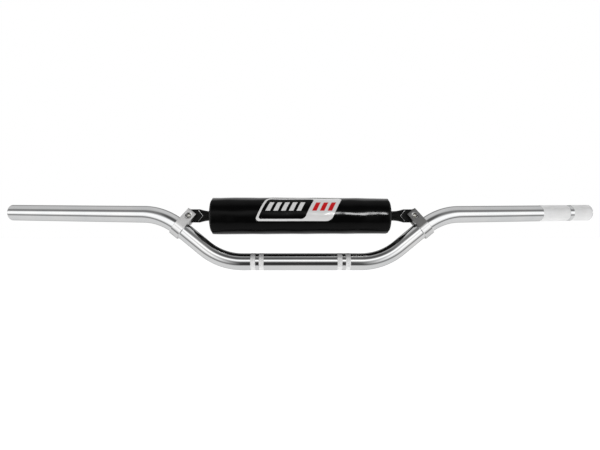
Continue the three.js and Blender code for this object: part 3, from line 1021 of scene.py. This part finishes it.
def screw_rings():
    """
    All rings of one screw, from the middle of its point to the bottom of its socket. Each entry
    of the profile is a place along the axis and a radius, which may change round the ring.
    """
    t = np.linspace(0, 2 * np.pi, SCREW_SIDES, endpoint=False)
    profile = []
    for dome in np.linspace(0.1, 0.9, 7) * math.pi / 2:
        profile.append((SCREW_TIP - DOME_HIGH * math.cos(dome), TIP_R * math.sin(dome)))
    profile.append((SCREW_TIP, TIP_R))
    for x in np.arange(SCREW_TIP + BEVEL, THREAD_END, PITCH / 6):
        wave = triangle_wave(x / PITCH - t / (2 * np.pi))
        taper = min(1.0, (x - SCREW_TIP) / TAPER_LENGTH)
        profile.append((x, SCREW_R - TAPER_DEPTH * (1 - taper) - THREAD_DEPTH * (1 - wave)))
    grips = HEAD_R - GRIP_DEPTH * triangle_wave(t * HEAD_GRIPS / (2 * np.pi))
    end = HEAD_FROM + HEAD_HIGH
    profile += [
        (THREAD_END + 0.0002, SCREW_R - PLAY),
        (HEAD_FROM - BEVEL, SCREW_R - PLAY),
        (HEAD_FROM, SCREW_R + 0.0002),
        (HEAD_FROM, HEAD_R - BEVEL),
        (HEAD_FROM + BEVEL, HEAD_R),
        (HEAD_FROM + 2 * BEVEL, grips),
        (end - 0.0011, grips),
        (end - 0.0008, HEAD_R - PLAY),
        (end - BEVEL, HEAD_R - 0.0002),
        (end, HEAD_R - 2 * BEVEL),
        (end, HEX_HALF * 1.25),
        (end - BEVEL, hexagon(HEX_HALF, t)),
        (end - HEX_DEEP, hexagon(HEX_HALF, t)),
        (end - HEX_DEEP - 2 * BEVEL, 2 * BEVEL),
    ]
    x = np.repeat([[x] for x, _ in profile], SCREW_SIDES, axis=1)
    radius = np.stack([np.broadcast_to(radius, t.shape) for _, radius in profile])
    return np.stack([x, radius * np.cos(t), radius * np.sin(t)], axis=-1)


def steel_finish():
    """Zinc-plated steel: a cool grey with faint yellow clouds and a little grime."""
    finish = Finish("zinc_plating", Metallic=1.0)
    cloud = finish.noise(finish.place("Object"), 260.0, 4.0, 0.6)
    grain = finish.noise(finish.place("Object"), 2400.0, 2.0)
    tint = finish.mix(finish.between(cloud, 0, 1, 0.3, 0.7), (0.62, 0.6, 0.52, 1), (0.8, 0.8, 0.8, 1))
    rough = finish.between(cloud, 0.2, 0.36, 0.3, 0.7)
    return finish.done(Base_Color=tint, Roughness=rough, Normal=finish.bump(grain, 0.00001, 0.4))


def ring_section(outer_r, start, thick):
    """A washer's section with cut corners, as (along, radius), from its bore's start and back."""
    low, high, corner = start, start + thick, WASHER_CORNER
    inner_r = SCREW_HOLE_R
    return [
        (low, inner_r + corner), (low, outer_r - corner), (low + corner, outer_r),
        (high - corner, outer_r), (high, outer_r - corner), (high, inner_r + corner),
        (high - corner, inner_r), (low + corner, inner_r),
    ]


def spring_washer_rings(outer_r, start):
    """
    A square wire wound once into a helix. Each ring is one section of the wire, turned to its
    place round the screw, and the two sawn ends stand a little apart.
    """
    wire = WASHER_T * WIRE_SHARE
    section = np.array(ring_section(outer_r, start, wire))
    share = np.linspace(0, 1, WIRE_STEPS)[:, None]
    t = SPLIT_ANGLE / 2 + share * (2 * np.pi - SPLIT_ANGLE)
    x = section[:, 0] + share * (WASHER_T - wire)
    return np.stack([x, section[:, 1] * np.cos(t), section[:, 1] * np.sin(t)], axis=-1)


plated = steel_finish()
plain_washer = turned(ring_section(PLAIN_WASHER_R, PLAIN_FROM, WASHER_T), WASHER_SIDES)
FASTENERS = {
    "clamp_screw": (screw_rings(), False),
    "plain_washer": (plain_washer, True),
    "spring_washer": (spring_washer_rings(SPRING_WASHER_R, SPRING_FROM), False),
}
for side_name, side in SIDES.items():
    for kind, (rings, looped) in FASTENERS.items():
        node_name = f"{kind}_{side_name}"
        rings_here = placed(rings, side, BOLT_HEIGHT)
        piece = skin(f"{node_name}_piece", rings_here, looped=looped, crease_angle=28)
        install(piece, plated, "bar", node=node_name)

# %% [markdown]
# ## The foam core
# The core is cut from closed-cell foam: a roll with a bore for the crossbar, funnel mouths for
# the crushed ends and a slit so that it can be opened. Its profile is carried round from one
# face of the slit to the other.

# %% Foam core
CORE_BORE_R = 0.0066
MOUTH_R = 0.010
MOUTH_DEEP = 0.022
CORE_EDGE_R = 0.004
SLIT_HALF = 0.001
LAP_CENTRE = math.radians(-35)
CROWN = 0.0006
TAPER = 0.0005
RIM_R = 0.0008
CORE_STEPS = 140


def swollen(points):
    """
    The pad's give, as a push away from its axis: it is a little fuller at one end, and crowned by
    depth x (1 - (x / half)^4) on top, where the sleeve's pull is least.
    """
    local = points - PAD_CENTRE
    share = local[..., 0] / CORE_HALF
    radius = np.linalg.norm(local[..., 1:], axis=-1)
    above = np.clip(local[..., 2] / np.maximum(radius, 1e-6), 0, 1)
    crown = CROWN * (1 - np.clip(np.abs(share), 0, 1) ** 4) * above ** 2
    push = (crown - TAPER * share) * np.clip((radius - CORE_BORE_R) / (CORE_R - CORE_BORE_R), 0, 1)
    away = local[..., 1:] / np.maximum(radius, 1e-6)[..., None]
    moved = local.copy()
    moved[..., 1:] += push[..., None] * away
    return moved + PAD_CENTRE


def core_profile():
    """The closed profile of the core as (x, radius): outside, rounded ends, mouths and bore."""
    flat_half = CORE_HALF - CORE_EDGE_R
    bore_half = CORE_HALF - MOUTH_DEEP
    outside = np.column_stack([np.linspace(-flat_half, flat_half, 60), np.full(60, CORE_R)])
    shoulder = arc((flat_half, CORE_R - CORE_EDGE_R), CORE_EDGE_R, math.pi / 2, 0, 9)[1:]
    face_r = np.linspace(CORE_R - CORE_EDGE_R, MOUTH_R + RIM_R, 15)[1:]
    face = np.column_stack([np.full(14, CORE_HALF), face_r])
    rim = arc((CORE_HALF - RIM_R, MOUTH_R + RIM_R), RIM_R, 0, -math.pi / 2, 5)[1:]
    share = np.linspace(0, 1, 12)[1:, None]
    funnel = rim[-1] + share * (np.array([bore_half, CORE_BORE_R]) - rim[-1])
    right = np.vstack([shoulder, face, rim, funnel])
    bore = np.column_stack([np.linspace(bore_half, -bore_half, 30)[1:-1], np.full(28, CORE_BORE_R)])
    left = right[::-1] * np.array([-1, 1])
    return np.vstack([outside, right, bore, left])


def core_rings():
    """
    Each ring is the whole profile at one turn round X. The turn runs from slit face to slit face:
    the faces are parallel, so a point at radius r starts at asin(half slit / r).
    """
    profile = core_profile()
    x, r = profile[:, 0], profile[:, 1]
    start = np.arcsin(SLIT_HALF / r)
    share = np.linspace(0, 1, CORE_STEPS)[:, None]
    t = LAP_CENTRE + start + share * (2 * np.pi - 2 * start)
    rings = np.stack([np.broadcast_to(x, t.shape), r * np.cos(t), r * np.sin(t)], axis=-1)
    return swollen(rings + PAD_CENTRE)


def foam_finish():
    """Closed-cell foam: matt black, its cut faces pitted by opened cells."""
    finish = Finish("closed_cell_foam", Roughness=0.95)
    place = finish.place("Object")
    cells = finish.node("ShaderNodeTexVoronoi", Vector=place, Scale=900.0).outputs["Distance"]
    cloud = finish.noise(place, 140.0, 3.0)
    pits = finish.between(cells, 0, 1, 0.1, 0.6)
    tone = finish.mix(finish.math("MULTIPLY", pits, cloud), grey(0.008), grey(0.03))
    return finish.done(Base_Color=tone, Normal=finish.bump(pits, 0.00025, 0.7))


core = skin("pad_core", core_rings(), caps="face", crease_angle=50)
install(core, foam_finish(), "pad", node="pad_foam_core")

# %% [markdown]
# ## The sleeve
# The sleeve is one sheet of vinyl-coated cloth, wrapped once round the core and lapped over itself
# at the lower back. Its middle surface is round, with a smooth rise on to the lap. A cloth
# simulation lets the sheet settle under the foam's push while its lap stays put, and its sag is
# read back, smoothed and given to the fine surface. The sag comes out at some thousandths of a
# millimetre, so the form that shows is that of the crown, the taper and the ripples below.

# %% The sleeve's middle surface
SLEEVE_HALF = (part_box("pad_sleeve")[1][0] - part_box("pad_sleeve")[0][0]) / 2
SLEEVE_T = 0.0009
STRIP_T = 0.0007
SLEEVE_R = CORE_R + GAP
LOOP_R = SLEEVE_R + SLEEVE_T + GAP
HOOK_R = LOOP_R + STRIP_T + GAP
LAP_R = HOOK_R + STRIP_T + GAP
LAP_ANGLE = math.radians(40)
LAP_RAMP = math.radians(25)
LAP_LEAD = math.radians(5)
LAP_FROM = LAP_CENTRE - LAP_ANGLE / 2
WRAP = 2 * math.pi + LAP_ANGLE
CLOTH_STEPS = 20
CLOTH_CAP = 0.0012
CLOTH_PRESSURE = 1.5
COARSE = (76, 60)
FINE = (190, 250)
EDGE_ROLL = 0.0004


def smooth_step(x):
    """0 below 0, 1 above 1, and 3x^2 - 2x^3 between."""
    x = np.clip(x, 0, 1)
    return x * x * (3 - 2 * x)


def sleeve_radius(turn):
    """The middle surface's radius: constant, then a smooth rise on to the lap."""
    lifted = LAP_FROM + 2 * math.pi - LAP_LEAD
    rise = smooth_step((turn - lifted + LAP_RAMP) / LAP_RAMP)
    return SLEEVE_R + SLEEVE_T / 2 + (LAP_R - SLEEVE_R) * rise


def round_pad(x, turn, radius):
    """The point at x, at an angle round the pad and at a radius, with the pad's give."""
    x, turn, radius = np.broadcast_arrays(x, turn, radius)
    return swollen(np.stack([x, radius * np.cos(turn), radius * np.sin(turn)], axis=-1) + PAD_CENTRE)


def settled(x, turn):
    """
    How far each point of the sheet moves outward in a cloth simulation: the foam pushes as a
    pressure, the lap and the ends are pinned, and the push is capped.
    """
    m, n = len(x), len(turn)
    sheet_points = round_pad(x[:, None], turn[None, :], sleeve_radius(turn)[None, :]).reshape(-1, 3)
    i, j = (grid.ravel() for grid in np.meshgrid(np.arange(m - 1), np.arange(n - 1), indexing="ij"))
    quads = np.stack([i * n + j, i * n + j + 1, (i + 1) * n + j + 1, (i + 1) * n + j], axis=1)
    sheet = new_object("sheet", sheet_points, quads.tolist(), np.zeros((quads.size, 2)))
    held = (turn < LAP_FROM + LAP_ANGLE) | (turn > LAP_FROM + 2 * math.pi - LAP_LEAD - LAP_RAMP)
    pins = np.broadcast_to(held, (m, n)).copy()
    pins[[0, -1]] = True
    sheet.vertex_groups.new(name="held").add(np.flatnonzero(pins.ravel()).tolist(), 1.0, "REPLACE")
    cloth = sheet.modifiers.new("cloth", "CLOTH").settings
    cloth.vertex_group_mass = "held"
    cloth.quality = 6
    cloth.mass = 0.3
    cloth.tension_stiffness = cloth.compression_stiffness = cloth.shear_stiffness = 60
    cloth.bending_stiffness = 2
    cloth.use_pressure = True
    cloth.uniform_pressure_force = CLOTH_PRESSURE
    cloth.effector_weights.gravity = 0
    scene = bpy.context.scene
    for step in range(1, CLOTH_STEPS + 1):
        scene.frame_set(step)
    moved = np.empty(m * n * 3, dtype=np.float32)
    sheet.evaluated_get(bpy.context.evaluated_depsgraph_get()).data.vertices.foreach_get("co", moved)
    scene.frame_set(1)
    bpy.data.objects.remove(sheet)
    outward = unit((sheet_points - PAD_CENTRE) * np.array([0, 1, 1]))
    push = np.sum((moved.reshape(-1, 3) - sheet_points) * outward, axis=1).reshape(m, n)
    return np.clip(push, -CLOTH_CAP, CLOTH_CAP)


def spread(values, coarse, fine, width):
    """Values at coarse places read at fine ones, as an average weighted by a bell curve."""
    weight = np.exp(-(((fine[:, None] - coarse[None, :]) / width) ** 2))
    return (weight / weight.sum(axis=1, keepdims=True)) @ values


fine_x = np.concatenate([
    [-SLEEVE_HALF, -SLEEVE_HALF + 0.00015],
    np.linspace(-SLEEVE_HALF + EDGE_ROLL, SLEEVE_HALF - EDGE_ROLL, FINE[0]),
    [SLEEVE_HALF - 0.00015, SLEEVE_HALF],
])
fine_turn = LAP_FROM + np.linspace(0, WRAP, FINE[1])
coarse_x = np.linspace(-SLEEVE_HALF, SLEEVE_HALF, COARSE[0])
coarse_turn = LAP_FROM + np.linspace(0, WRAP, COARSE[1])
push = settled(coarse_x, coarse_turn)
push = spread(push, coarse_x, fine_x, 1.5 * (coarse_x[1] - coarse_x[0]))
sag = spread(push.T, coarse_turn, fine_turn, 1.5 * (coarse_turn[1] - coarse_turn[0])).T
print("cloth sag, mm", (sag.min() * 1000).round(3), (sag.max() * 1000).round(3))

# %% [markdown]
# The outside and the inside of the sheet lie half a thickness from the middle surface. One ring
# goes along the outside and back along the inside, so the two long edges close by themselves.
# Very low ripples run along the sheet, as in any vinyl that has been stored rolled up. Each
# ripple is given as its height, its length in metres and where it starts.

# %% Sleeve mesh
RIPPLES = ((0.0001, 0.051, 0.4), (0.00005, 0.027, 2.1), (0.000012, 0.013, 4.0))
PANEL_SLANT = 0.45
PANEL_CENTRE = (-0.0065, 0.0105)
PANEL_HALF = (0.0485, 0.0175)
PANEL_CORNER = 0.006
DARK_CENTRE = (-0.0225, 0.0105)
DARK_HALF = (0.0295, 0.0147)
DARK_CORNER = 0.004
BAR_PITCH = 0.0098
BAR_SHARE = 0.29
BAR_SOFT = 0.02
ROW_HIGH = 0.0125
ROW_HALF_HIGH = 0.0062
ROW_CORNER = 0.001
ROWS = {"white": (-2.5 * BAR_PITCH, 2.5 * BAR_PITCH), "red": (2.5 * BAR_PITCH, 1.5 * BAR_PITCH)}
PRINT_SOFT = 0.00012


def ripple(x, turn):
    """The sum of height sin(2 pi x / length + start + 2 sin(3 turn + start)) over the ripples."""
    waves = [
        high * np.sin(2 * np.pi * x / long + start + 2 * np.sin(3 * turn + start))
        for high, long, start in RIPPLES
    ]
    return sum(waves)


def sleeve_rings():
    """Rings along X: the outside from edge to edge, then the inside back again."""
    x, turn = fine_x[:, None], fine_turn[None, :]
    middle = sleeve_radius(turn) + sag + ripple(x, turn)
    edge = np.clip((SLEEVE_HALF - np.abs(x)) / EDGE_ROLL, 0, 1)
    half = SLEEVE_T / 2 * (0.6 + 0.4 * np.sqrt(edge))
    outside = round_pad(x, turn, middle + half)
    inside = round_pad(x, turn, middle - half)
    return np.concatenate([outside, inside[:, ::-1]], axis=1)


def sleeve_uv():
    """The UV map of the sheet: x along it, and the distance from the front's middle line, upwards."""
    up = (math.pi - fine_turn) * (SLEEVE_R + SLEEVE_T)
    return fine_x, np.concatenate([up, up[::-1], up[:1]])


def sleeve_finish():
    """
    Glossy black vinyl with a printed panel: a slanted, round-cornered plate, black to one side and
    white to the other, with a row of slanted bars on each side.
    """
    finish = Finish("coated_sleeve", Specular_IOR_Level=0.09)
    place = finish.parts(finish.node("ShaderNodeTexCoord").outputs["UV"])
    high = place["Y"]
    along = finish.math("MULTIPLY_ADD", high, -PANEL_SLANT, place["X"])

    def past(value, centre, half):
        """How far a value lies past centre + half or short of centre - half, or 0."""
        distance = finish.math("ABSOLUTE", finish.math("SUBTRACT", value, centre))
        return finish.math("MAXIMUM", finish.math("SUBTRACT", distance, half), 0.0)

    def plate(centre, half, corner):
        """1 inside a rectangle with round corners: distance = |max(|p| - half, 0)| - corner."""
        over_x = past(along, centre[0], half[0] - corner)
        over_y = past(high, centre[1], half[1] - corner)
        square_x = finish.math("MULTIPLY", over_x, over_x)
        square_y = finish.math("MULTIPLY", over_y, over_y)
        distance = finish.math("SQRT", finish.math("ADD", square_x, square_y))
        return finish.between(distance, 1, 0, corner - PRINT_SOFT, corner + PRINT_SOFT)

    whole = plate(PANEL_CENTRE, PANEL_HALF, PANEL_CORNER)
    dark = plate(DARK_CENTRE, DARK_HALF, DARK_CORNER)
    beat = finish.math("FRACT", finish.math("DIVIDE", along, BAR_PITCH))
    from_middle = finish.math("ABSOLUTE", finish.math("SUBTRACT", beat, 0.5))
    bar = finish.between(from_middle, 1, 0, BAR_SHARE - BAR_SOFT, BAR_SHARE + BAR_SOFT)
    rows = {
        colour: plate((centre, ROW_HIGH), (half, ROW_HALF_HIGH), ROW_CORNER)
        for colour, (centre, half) in ROWS.items()
    }
    grain = finish.noise(finish.place("UV"), 1800.0, 3.0, 0.55)
    cloud = finish.noise(finish.place("Object"), 45.0, 4.0, 0.55)
    black = finish.mix(cloud, grey(0.0012), grey(0.0025))
    white = finish.mix(cloud, grey(0.6, 0.004), grey(0.67, 0.006))
    colour = finish.mix(whole, black, white)
    colour = finish.mix(finish.product(whole, dark), colour, black)
    colour = finish.mix(finish.product(bar, rows["white"]), colour, white)
    colour = finish.mix(finish.product(bar, rows["red"]), colour, (0.5, 0.012, 0.014, 1))
    rough = finish.between(cloud, 0.08, 0.14, 0.3, 0.7)
    printed = finish.bump(whole, 0.00004, 0.6)
    normal = finish.bump(grain, 0.000004, 0.35, under=printed)
    return finish.done(Base_Color=colour, Roughness=rough, Normal=normal)


sleeve = skin("sleeve", sleeve_rings(), caps="across", uv_at=sleeve_uv(), crease_angle=50)
install(sleeve, sleeve_finish(), "pad", node="pad_sleeve")

# %% [markdown]
# ## Lights for the gloss
# Black vinyl returns under a hundredth of what it sees, so its highlights need lights that would
# burn out bare metal. Light linking keeps them to the sleeve: a broad one above and behind for the
# soft band along the top, and a small one at the front for the streak. The small one is cut off
# above the pad's upper half, because it would burn out the pad's outline as seen from behind.

# %% Lights that only the sleeve sees
ABOVE = {"place": (0, 1.5, 1.3), "aim": (0, 0, 0), "size": (2.6, 1.7), "power": 18}
STRIP = {"place": (0.25, -1.5, 0.42), "aim": (0.07, 0, 0.06), "size": (0.2, 0.34), "power": 16}
FLAG_HIGH = PAD_CENTRE[2] + 0.5 * CORE_R
FLAG_SOFT = 0.004


def only_for(light, pieces):
    """The light reaches only these pieces, and only as a reflection."""
    receivers = bpy.data.collections.new(f"{light.name}_receivers")
    for piece in pieces:
        receivers.objects.link(piece)
    light.light_linking.receiver_collection = receivers
    light.visible_diffuse = False


def flagged(light, high, soft):
    """
    Cuts the light off above a height in the plane y = 0, as a studio flag does. Light that leaves
    p in direction d meets that plane at z = p_z - d_z p_y / d_y.
    """
    light.data.use_nodes = True
    beam = Wiring(light.data.node_tree)
    geometry = beam.node("ShaderNodeNewGeometry").outputs
    p = beam.parts(geometry["Position"])
    d = beam.parts(geometry["Incoming"])
    fall = beam.math("DIVIDE", beam.math("MULTIPLY", d["Z"], p["Y"]), d["Y"])
    share = beam.between(beam.math("SUBTRACT", p["Z"], fall), 1, 0, high, high + soft)
    beam.put(beam.tree.nodes["Emission"].inputs["Strength"], share)


only_for(make_light("gloss_above", **ABOVE), [sleeve])
strip_light = make_light("gloss_strip", **STRIP)
only_for(strip_light, [sleeve])
flagged(strip_light, FLAG_HIGH, FLAG_SOFT)

# %% [markdown]
# ## The closure
# Two woven tapes close the lap, one with loops and one with hooks. They are thin curved slabs
# between the sleeve's two layers, and their pile shows only at the ends of the pad.

# %% Closure tapes
STRIP_INSET = math.radians(3)
PILE_DEPTH = 0.0001
PILE_PITCH = 0.0011
STRIP_STEPS = (420, 40)


def strip_rings(inner_r, pile_outside):
    """A curved slab along X whose one face is covered in pile: r + depth x sin(x) sin(turn)."""
    low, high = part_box("pad_loop_strip")
    half = (high[0] - low[0]) / 2
    x = np.linspace(-half, half, STRIP_STEPS[0])[:, None]
    first = LAP_FROM + STRIP_INSET
    turn = np.linspace(first, first + LAP_ANGLE - 2 * STRIP_INSET, STRIP_STEPS[1])[None, :]
    wave = 2 * np.pi / PILE_PITCH
    pile = PILE_DEPTH * np.sin(x * wave) * np.sin(turn * inner_r * wave)
    flat = np.zeros_like(pile)
    outer = inner_r + STRIP_T + (pile if pile_outside else flat)
    inner = inner_r + (flat if pile_outside else pile)
    return np.concatenate([round_pad(x, turn, outer), round_pad(x, turn, inner)[:, ::-1]], axis=1)


def tape_finish():
    """Black woven tape with a dull pile."""
    finish = Finish("closure_tape", Roughness=0.9, Sheen_Weight=0.3)
    pile = finish.noise(finish.place("Object"), 2600.0, 3.0, 0.6)
    tone = finish.mix(pile, grey(0.006), grey(0.035))
    return finish.done(Base_Color=tone, Normal=finish.bump(pile, 0.0002, 0.8))


tape = tape_finish()
for name, inner_r, pile_outside in (("loop", LOOP_R, True), ("hook", HOOK_R, False)):
    rings = strip_rings(inner_r, pile_outside)
    strip = skin(f"{name}_tape", rings, caps="across", crease_angle=50)
    install(strip, tape, "pad", node=f"pad_{name}_strip")

# %% [markdown]
# ## Sizes
# The visual model has to fill the same box as the imported one, so both boxes' sizes are printed.

# %% Print the sizes
visual_box = [list(corner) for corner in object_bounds()]
for name, box in (("packed", cad_box), ("visual", visual_box)):
    print(name, "box size", np.ptp(np.array(box), axis=0).round(4))
